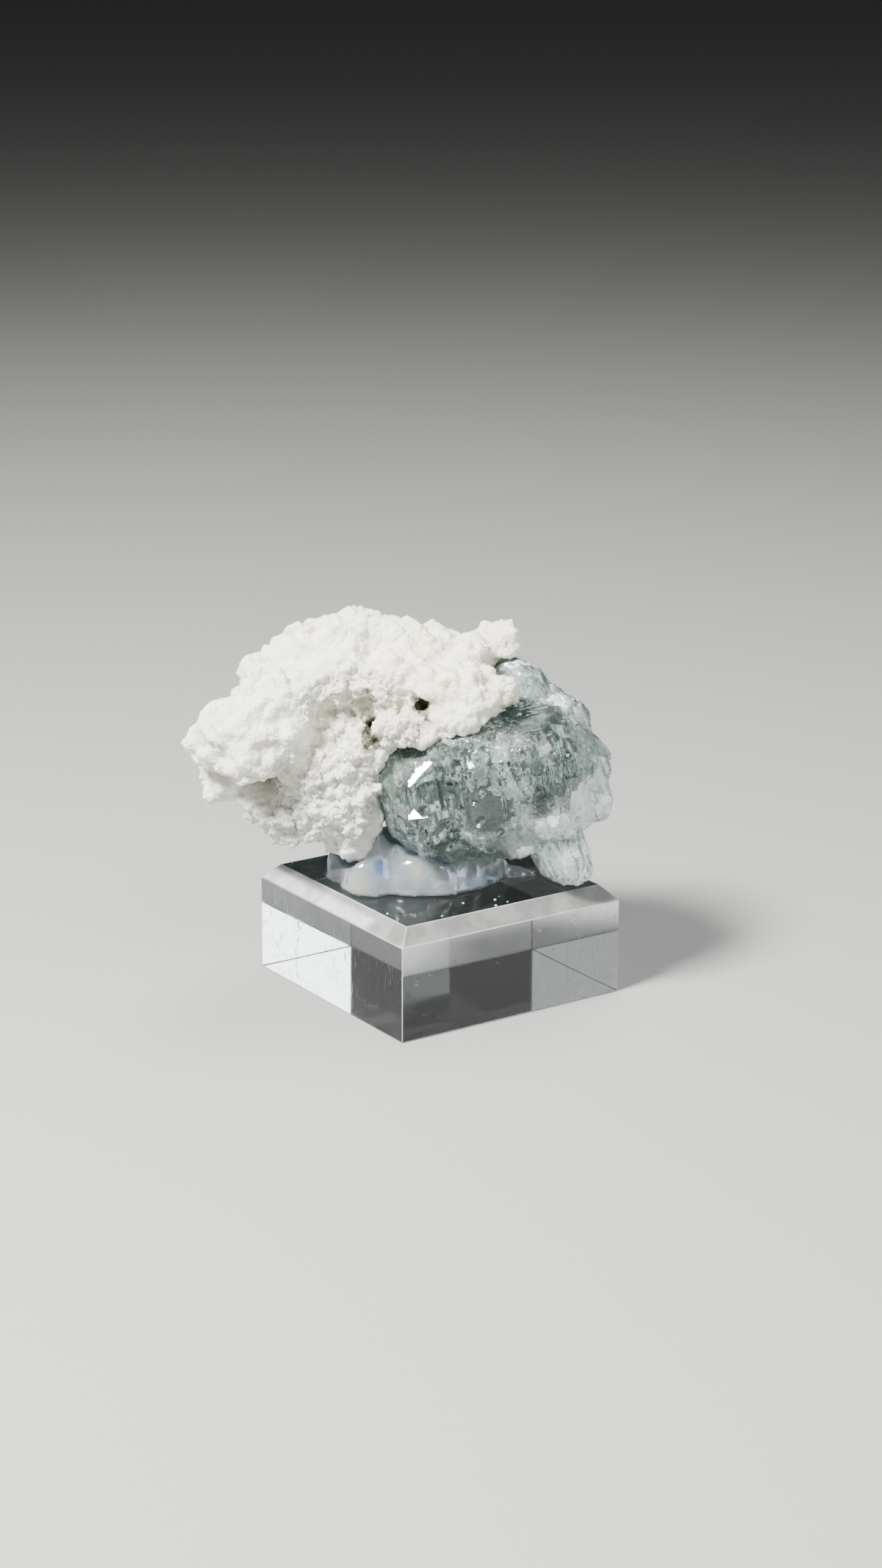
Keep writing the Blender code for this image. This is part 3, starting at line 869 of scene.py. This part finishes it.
def makeScatterTree():
    # upright crystals set in or on a wall, all along one c axis; Side is -1 for proud ones, 1 for pits
    lengths = dict.fromkeys(("Radius", "Height", "Stand"), (1.0, 1.0))
    plain = {"Density": 1.0, "Side": -1.0, "Patch": 0.0, "Level": 0.0, "Zoned": 0.0, "Tumble": 0.0, "Seed": 1}
    entry, tree, place = openGeometry("scattered crystals", lengths, **plain)
    points, normal = scattered(entry)
    upright = abs(partsOf(turnedAt(normal, crystalEuler))[2])
    soft = calc("MAXIMUM", frostAt(place), toothAt(place))
    bare = noiseAt(place, 3.2, 1.0) < entry["Patch"]
    inside = calc("COMPARE", entry["Zoned"], 0.0, 0.1)
    for zone, spots in ((1.0, ribSpots), (2.0, pitSpots)):
        inside = inside + calc("COMPARE", entry["Zoned"], zone, 0.1) * spotsAt(place, spots)
    other = abs((upright > 0.42) - entry["Level"])
    points = without(points, soft + bare + other + (1.0 - inside) > 0.4)
    radius, height, stand = [
        drawnSize(entry, label, entry["Seed"] + offset)
        for label, offset in (("Radius", 11), ("Height", 12), ("Stand", 13))
    ]
    apothem = radius * crystalSizes["apothem"] * (1.0 - upright)
    reach = (apothem + height * 0.5 * upright) * entry["Side"] + stand
    points = pushed(points, reach, normal)
    prism = {"Vertices": 6, "Side Segments": 5, "Radius": 1.0, "Depth": 1.0}
    prism = addNode("GeometryNodeMeshCylinder", prism, "Mesh", tree)
    narrow = ramp(abs(partsOf(place)[2]), 0.32, 0.5, 1.0, 0.6, curve="LINEAR")
    tapered = vectorCalc("MULTIPLY", place, joined(narrow, narrow, 1.0))
    prism = addNode("GeometryNodeSetPosition", {"Geometry": prism, "Position": tapered})
    placed = placedOn(points, prism, joined(radius, radius, height), prismEuler)
    turn = drawnTurn(tree, entry["Seed"] + 14, entry["Tumble"] * -1.0, entry["Tumble"])
    tumbled = addNode("GeometryNodeRotateInstances", {"Instances": placed, "Rotation": turn})
    return closeTree({"Geometry": tumbled})


def scatterOn(scatter, surface, row, side):
    labels = ("Density", "Radius", "Height", "Stand", "Tumble", "Patch", "Level", "Zoned", "Seed")
    values = dict(zip(labels, row))
    lengths = {label: values.pop(label) for label in ("Radius", "Height", "Stand")}
    inputs = {"Geometry": surface, "Side": side, **values, **inMetres(lengths)}
    return addNode("GeometryNodeGroup", inputs, node_tree=scatter)


# bright facets on the left of the good side: middle, length and turn of each, then its ragged edge
glintFacets = {
    "depth": 0.45,
    "places": (
        ((-2.6, -12.5, 33.0), 4.4, 57.0, (0.45, 0.85, 0.8, 1.0, 0.85, 1.15, 1.05, 0.8, 0.95, 0.6)),
        ((-2.7, -13.2, 27.4), 2.6, 12.0, (0.7, 1.2, 1.6, 1.9, 2.1, 2.15, 1.9)),
    ),
}


def makeGlints():
    # each facet is tilted half way between the key light and the good side's view
    body = bmesh.new()
    key = displayFrame @ Vector(lights["key"][0])
    eye = Vector(cameraSetup["place"])
    for middle, length, turn, edge in glintFacets["places"]:
        spot = displayFrame @ (Vector(middle) * mm)
        facing = ((key - spot).normalized() + (eye - spot).normalized()).normalized()
        right = Vector((0, 0, 1)).cross(facing).normalized()
        facetFrame = Matrix((right, facing.cross(right), facing)).transposed()
        spin = facetFrame @ Matrix.Rotation(math.radians(turn), 3, "Z")
        step = length / len(edge)
        outline = [(-length / 2, -0.4), (length / 2, -0.4)]
        for index in reversed(range(len(edge))):
            start = index * step - length / 2
            outline += [(start + 0.8 * step, edge[index] - 0.4), (start + 0.1 * step, edge[index] - 0.45)]
        front = [body.verts.new(spot + spin @ Vector((x * mm, y * mm, 0.0))) for x, y in outline]
        back = [body.verts.new(v.co - facing * glintFacets["depth"] * mm) for v in front]
        body.faces.new(front)
        body.faces.new(list(reversed(back)))
        for index in range(len(front)):
            after = (index + 1) % len(front)
            body.faces.new((front[after], front[index], back[index], back[after]))
    bmesh.ops.recalc_face_normals(body, faces=body.faces)
    return newPiece("glint_facets", meshOf(body, "glints"))


def makeCrystalTree(walls, glints, neighbour):
    # the remeshed body comes in as the geometry, the crisp walls, the bright facets and the albite as objects
    sizes = crystalSizes
    entry, tree, place = openGeometry("aquamarine body", sizes["relief"])
    frost, tooth = frostAt(place), toothAt(place)
    soft = calc("MAXIMUM", frost, tooth)
    inputs = {0: place, "Iterations": sizes["softening"], "Weight": soft}
    blurred = addNode("GeometryNodeBlurAttribute", inputs, data_type="FLOAT_VECTOR")
    softer = addNode("GeometryNodeSetPosition", {"Geometry": entry["Geometry"], "Position": blurred})
    swell = (noiseAt(place, 2.8, 2.0) - 0.5) * entry["Swelling"]
    ripple = toothLines(place, 0.65) * tooth * entry["Ripple"]
    along = drawnOut(turnedAt(place, crystalEuler), 0.45)
    luck = partsOf(cellsAt(along, sizes["terraceSize"], "Color"))[0]
    opened = spotsAt(place, clearSpots)
    plain = calc("MAXIMUM", soft, calc("MULTIPLY", opened, 1.8, clamp=True))
    terrace = (luck - 0.6) * entry["Terrace"] * (1.0 - plain)
    skin = calc("SUBTRACT", frost, tooth, clamp=True)
    facets = tiltedAt(along, sizes["facet"]) * sizes["facetSlope"] * skin
    near = awayFrom(tree, neighbour)
    seam = stepAt(near, *sizes["seamReach"], 0.0, sizes["seam"] * mm)
    body = pushed(softer, terrace + (swell + ripple) + facets + seam)
    crisp = objectOf(tree, walls)
    scatter = makeScatterTree()
    proud = [scatterOn(scatter, crisp, row, -1.0) for row in sizes["proud"].values()]
    sunk = [scatterOn(scatter, crisp, row, 1.0) for row in sizes["sunk"].values()]
    whole = combined("UNION", [body, objectOf(tree, glints), *proud])
    etched = combined("DIFFERENCE", sunk, whole)
    mist = mistAt(place, inputOf(tree, "Normal"))
    touching = stepAt(near, sizes["contact"], 0.0, 0.0, 0.45)
    mist = mist + touching * (1.0 - calc("MULTIPLY", opened, 2.2, clamp=True))
    mist = mist - (awayFrom(tree, glints) < 0.02 * mm) * 3.0
    misted = stored(etched, "mist", mist)
    rounded = addNode("GeometryNodeSetShadeSmooth", {"Geometry": misted, "Shade Smooth": True})
    angle = inputOf(tree, "MeshEdgeAngle")
    creased = (angle > math.radians(sizes["creaseAngle"])) * (tooth < 0.5)
    inputs = {"Geometry": rounded, "Selection": creased, "Shade Smooth": False}
    sharp = addNode("GeometryNodeSetShadeSmooth", inputs, domain="EDGE")
    shown = painted(realized(sharp), aquamarine)
    shown = painted(shown, satinAquamarine, mist > sizes["satinFrom"])
    rim = calc("COMPARE", mist, sizes["satinFrom"], sizes["rimWidth"])
    frosted = calc("MAXIMUM", mist > sizes["frostedFrom"], rim)
    shown = painted(shown, frostedAquamarine, frosted)
    return closeTree({"Geometry": painted(shown, milkyAquamarine, mist > sizes["milkyFrom"])})


veilSizes = {
    "perArea": 9000.0,
    "flatness": 0.6,
    "curlSize": 2.2,
    "flakes": {"Radius": (0.6, 2.2), "Depth": (0.9, 3.6), "Thickness": 0.03, "Margin": 0.6, "Curl": 1.4},
}


def makeVeilTree():
    # thin curled flakes a little way inside the clear walls, cut off where they would come through
    entry, tree, place = openGeometry("healed fractures", veilSizes["flakes"], Density=1.0, Seed=4)
    points, normal = scattered(entry)
    depth = drawnSize(entry, "Depth", 41)
    points = pushed(without(points, frostAt(place) > 0.6), depth * -1.0, normal)
    radius = drawnSize(entry, "Radius", 42)
    scale = joined(radius, radius * veilSizes["flatness"], entry["Thickness"])
    flakes = realized(placedOn(points, beadOf(tree, 4), scale, drawnTurn(tree, 43)))
    wave = noiseAt(place, veilSizes["curlSize"], 2.0, output="Color")
    wave = vectorCalc("SUBTRACT", wave, middleGrey)
    curled = moved(flakes, vectorCalc("SCALE", wave, scale=entry["Curl"]))
    inner = pushed(entry["Geometry"], entry["Margin"] * -1.0)
    inside = combined("INTERSECT", [curled, inner])
    return endTree(inside, veilMaterial)


def makeVeils(walls):
    piece = newPiece("inner_veils", walls.data.copy())
    addTree(piece, makeVeilTree(), veilSizes["flakes"], Density=veilSizes["perArea"])
    plainMesh(piece, veilMaterial)
    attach(piece, "root")
    report(piece)


def makeCrystal():
    sizes = crystalSizes
    walls = copyOfNode("aquamarine_crystal", "crisp_walls")
    glints = makeGlints()
    neighbour = copyOfNode("albite_matrix", "albite_beside")
    piece = softCopy("aquamarine_crystal", "etched_crystal", sizes)
    addTree(piece, makeCrystalTree(walls, glints, neighbour), sizes["relief"])
    plainMesh(piece)
    makeVeils(walls)
    for helper in (walls, glints, neighbour):
        bpy.data.objects.remove(helper)
    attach(piece, "root")
    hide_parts("aquamarine_crystal")
    report(piece)


makeCrystal()


# the albite crust: beads fused on, fine relief, and loose-looking grains
crustSizes = {
    "softVoxel": 0.45,
    "voxel": 0.27,
    "smoothing": 0.6,
    "repeats": 3,
    "beadsPerArea": 1700000.0,
    "beads": {"Radius": (0.22, 0.75)},
    "relief": {"Relief": 2.7, "Fine Relief": 0.60, "Knobs": 0.95},
    "knobSize": 1.7,
    "lobeSize": 3.4,
    "lumpSize": 2.6,
}

# crusty places on the good side, as the spots on the crystal
crustySpots = (
    (-12.4, 37.8, 6.0, 4.6), (-12.9, 25.8, 5.5, 7.5), (-19.5, 20.6, 8.0, 4.0, 0.9),
    (-6.0, 34.0, 4.0, 3.0, 0.7), (-19.0, 27.0, 2.5, 3.5, 0.7),
)
vugShape = {
    # x, z, radius and turn of each dark hole, which is three-cornered; the holes are painted: an olive lining
    # darkened as painted shade
    "holes": ((-8.7, 36.8, 0.85, 20.0), (-9.0, 42.5, 0.42, 75.0), (-2.1, 41.0, 0.74, 5.0),
              (-3.2, 42.7, 0.34, 50.0), (-11.0, 38.0, 0.14, 0.0)),
    "ragged": 1.6,
    "raggedSize": 0.9,
    "mouth": 9.5,  # how far in front of the middle the holes open
    "slope": -0.21,
    "end": (4.0, 0.0),
}


def crustyAt(place):
    # 1 where beads crowd together, 0 on the smooth lobes
    wander = noiseAt(place, 2.2, 2.0) * 0.9 - 0.45 + 0.12
    return calc("ADD", spotsAt(place, crustySpots), wander, clamp=True)


def vugAt(place, grow=0.0):
    # 1 inside the dark holes, which run back from the good side
    shape = vugShape
    shown = displayAt(place)
    ragged = vectorCalc("SUBTRACT", noiseAt(shown, shape["raggedSize"], 2.0, output="Color"), middleGrey)
    shown = vectorCalc("ADD", shown, vectorCalc("SCALE", ragged, scale=shape["ragged"] * mm))
    across, depth, height = partsOf(shown)
    level = height + (depth + shape["mouth"] * mm) * shape["slope"]
    mask = 0.0
    for x, z, radius, turn in shape["holes"]:
        dx, dz = across - x * mm, level - z * mm
        angles = [math.radians(turn + 120 * corner) for corner in range(3)]
        away, *others = [dx * math.cos(angle) + dz * math.sin(angle) for angle in angles]
        for side in others:
            away = calc("MAXIMUM", away, side)
        mask = calc("MAXIMUM", stepAt(away, radius + 0.16 + grow, radius - 0.06 + grow), mask)
    return mask * stepAt(depth, *shape["end"])


def makeBeadsTree():
    entry, tree, place = openGeometry("crust beads", crustSizes["beads"], Density=1.0, Seed=5)
    points, normal = scattered(entry)
    crusty = crustyAt(place)
    nearHole = vugAt(place, 0.7)
    crowded = calc("MAXIMUM", crusty ** 1.6 - nearHole, 0.06 - nearHole)
    points = without(points, drawn(tree, 0.03, 1.1, 20) > crowded)
    spread = entry["High Radius"] - entry["Low Radius"]
    radius = drawn(tree, 0.0, 1.0, 21) ** 2.2 * spread + entry["Low Radius"]
    radius = radius * blend(crusty, 1.7, 1.0)
    points = pushed(points, radius * drawn(tree, 0.1, 0.55, 22) * -1.0, normal)
    beads = placedOn(points, beadOf(tree, 2), radius, drawnTurn(tree, 23))
    whole = addNode("GeometryNodeJoinGeometry", {0: [beads, entry["Geometry"]]}, tree=tree)
    return endTree(whole, albite)


def makeCrustTree():
    sizes = crustSizes
    entry, _, place = openGeometry("crust relief", sizes["relief"])
    crusty = crustyAt(place)
    broad = noiseAt(place, 3.6, 3.0, 0.5, 0.3)
    lobes = noiseAt(place, sizes["lobeSize"], 1.2)
    billow = blend(crusty, lobes, noiseAt(place, sizes["lumpSize"], 3.0, 0.55))
    crease = abs(billow * 2.0 - 1.0)
    inputs = {"Vector": place, "Scale": 1 / (sizes["knobSize"] * mm), "Smoothness": 0.25}
    knob = addNode("ShaderNodeTexVoronoi", inputs, "Distance", feature="SMOOTH_F1")
    knob = (0.42 - knob) * entry["Knobs"] * (crusty * 0.8 + 0.25)
    lump = (calc("MINIMUM", crease, 0.5) - 0.2) * entry["Relief"] * 0.75
    grain = (0.45 - cellsAt(place, 0.62)) * (crusty * 0.95 + 0.16)
    sand = (noiseAt(place, 0.5, 3.0, 0.7) - 0.5) * (crusty * 0.5 + 0.5)
    height = (broad - 0.5) * entry["Relief"] + lump + (grain + sand) * entry["Fine Relief"] + knob
    whole = pushed(entry["Geometry"], height)
    # painted shade: where the crust lies low and creased, stored for the albite colour to darken
    hollow = ramp(broad * 0.6 + crease * 0.35, 0.31, 0.20)
    for label, value in (("hollow", hollow), ("vug", vugAt(place)), ("crusty", crusty)):
        whole = stored(whole, label, value)
    return endTree(whole, albite)


def makeCrust():
    sizes = crustSizes
    piece = softCopy("albite_matrix", "albite_crust", sizes)
    addTree(piece, makeBeadsTree(), sizes["beads"], Density=sizes["beadsPerArea"])
    addRemesh(piece, sizes["voxel"])
    addTree(piece, makeCrustTree(), sizes["relief"])
    plainMesh(piece, albite)
    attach(piece, "root")
    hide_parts("albite_matrix")
    report(piece)
    return piece


crust = makeCrust()

grainSizes = {"perArea": 1600000.0, "grains": {"Size": (0.07, 0.20)}}


def makeGrainTree():
    entry, tree, _ = openGeometry("grains", grainSizes["grains"], Density=1.0, Sink=0.35, Seed=9)
    points, normal = scattered(entry)
    size = drawnSize(entry, "Size", 31)
    points = pushed(points, size * entry["Sink"] * -1.0, normal)
    grains = placedOn(points, beadOf(tree, 1), size, drawnTurn(tree, 32))
    return endTree(grains, albiteGrain)


grainTree = makeGrainTree()


def makeGrains():
    piece = newPiece("albite_grains", crust.data.copy())
    addTree(piece, grainTree, grainSizes["grains"], Density=grainSizes["perArea"])
    plainMesh(piece, albiteGrain)
    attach(piece, "root")
    report(piece)


makeGrains()


# the glue: a soft blob under the stones that wets the block
glueSizes = {
    "softVoxel": 0.30,
    "smoothing": 0.7,
    "repeats": 5,
    "gap": 0.33,
    "wetHeight": 0.5,
    "wetThinning": 0.5,
    "flareHeight": 0.9,
    "flare": 0.85,
    "folds": {"Depth": 1.3, "Size": 3.4, "Foot": blockSizes["height"]},
    "foldFade": 1.2,
    # a mound that fills the notch between the stones
    "mound": {"middle": (-7.2, -7.4), "reach": 3.2, "lowest": 18.0, "rise": 2.0, "lift": 3.3},
}


def makeFoldTree():
    # upright folds round the blob, fading out at its foot
    entry, _, place = openGeometry("glue folds", glueSizes["folds"])
    inputs = {"Vector": drawnOut(place, 0.35), "Scale": 1 / entry["Size"], "Detail": 1.0}
    folds = (addNode("ShaderNodeTexNoise", inputs) - 0.5) * entry["Depth"]
    fade = stepAt(partsOf(place)[2] - entry["Foot"], 0.0, glueSizes["foldFade"])
    return endTree(pushed(entry["Geometry"], folds * fade), glueMaterial)


def makeGluePiece():
    sizes = glueSizes
    mound = sizes["mound"]
    blockTop = blockSizes["height"]
    piece = softCopy("mineral_glue", "glue_blob", sizes)
    addTree(piece, makeFoldTree(), sizes["folds"])
    plainMesh(piece, glueMaterial)
    outwards = [vertex.normal.copy() for vertex in piece.data.vertices]
    for vertex, outward in zip(piece.data.vertices, outwards):
        outward.z = 0.0
        above = vertex.co.z / mm - blockTop
        shown = displayFrame.inverted() @ vertex.co / mm
        away = (shown.xy - Vector(mound["middle"])).length / mound["reach"]
        share = min(1.0, max(0.0, (shown.z - mound["lowest"]) / mound["rise"]))
        vertex.co.z += max(0.0, 1 - away ** 2) ** 2 * share * mound["lift"] * mm
        if above < sizes["flareHeight"]:
            vertex.co += outward * sizes["flare"] * mm * (1 - above / sizes["flareHeight"]) ** 2
        if above < sizes["wetHeight"]:
            vertex.co.z = (blockTop + max(0.0, above - sizes["gap"]) * sizes["wetThinning"]) * mm
    piece.data.update()
    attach(piece, "root")
    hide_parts("mineral_glue")
    report(piece)


makeGluePiece()

# crumbs shed on the block
crumbSizes = {"perArea": 50000.0, "grains": {"Size": (0.03, 0.24)}, "reach": 15.0, "lift": 0.02}


def makeCrumbs():
    sizes = crumbSizes
    sheet = sheetOf("crumbs", sizes["reach"] * mm, (blockSizes["height"] + sizes["lift"]) * mm)
    piece = newPiece("block_crumbs", sheet)
    addTree(piece, grainTree, sizes["grains"], Density=sizes["perArea"])
    plainMesh(piece, crumbMaterial, smooth=False)
    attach(piece, "root")
    report(piece)


makeCrumbs()


# floor, lights and camera
stageSizes = {
    "floor": 3.0,
    "drop": 0.05,
    "floorColour": (0.45, 0.45, 0.445),
    "world": 0.052,
    "worldBlue": 1.03,
}


def makeStage():
    sizes = stageSizes
    floor = newPiece("floor", sheetOf("floor", sizes["floor"], -sizes["drop"] * mm))
    plain = {"Roughness": 0.7, "Base Color": sizes["floorColour"]}
    floor.data.materials.append(newMaterial("pale floor", plain)[0])
    world = bpy.data.worlds.new("studio")
    world.use_nodes = True
    level = sizes["world"]
    plug((level, level, level * sizes["worldBlue"]), world.node_tree.nodes["Background"], "Color")
    bpy.context.scene.world = world
    bpy.context.scene.view_settings.look = "AgX - Medium High Contrast"


def makeLights():
    for name, (place, size, watts, colour) in lights.items():
        lamp = bpy.data.lights.new(name, "AREA")
        lamp.shape = "SQUARE"
        lamp.size = size
        lamp.energy = watts
        lamp.color = colour
        made = newPiece(name, lamp)
        made.location = displayFrame @ Vector(place)
        made.rotation_euler = (Vector(lightAim) - made.location).to_track_quat("-Z", "Y").to_euler()


def makeCamera():
    setup = cameraSetup
    lens = bpy.data.cameras.new("camera")
    lens.lens = setup["lens"]
    lens.sensor_width = setup["sensor"]
    lens.clip_start = setup["nearest"]
    camera = newPiece("camera", lens)
    turn = Matrix((setup["right"], setup["up"], -Vector(setup["forward"]))).transposed().to_4x4()
    camera.matrix_world = Matrix.Translation(setup["place"]) @ turn
    bpy.context.scene.camera = camera


makeStage()
makeLights()
makeCamera()
print("stage, lights and camera set")
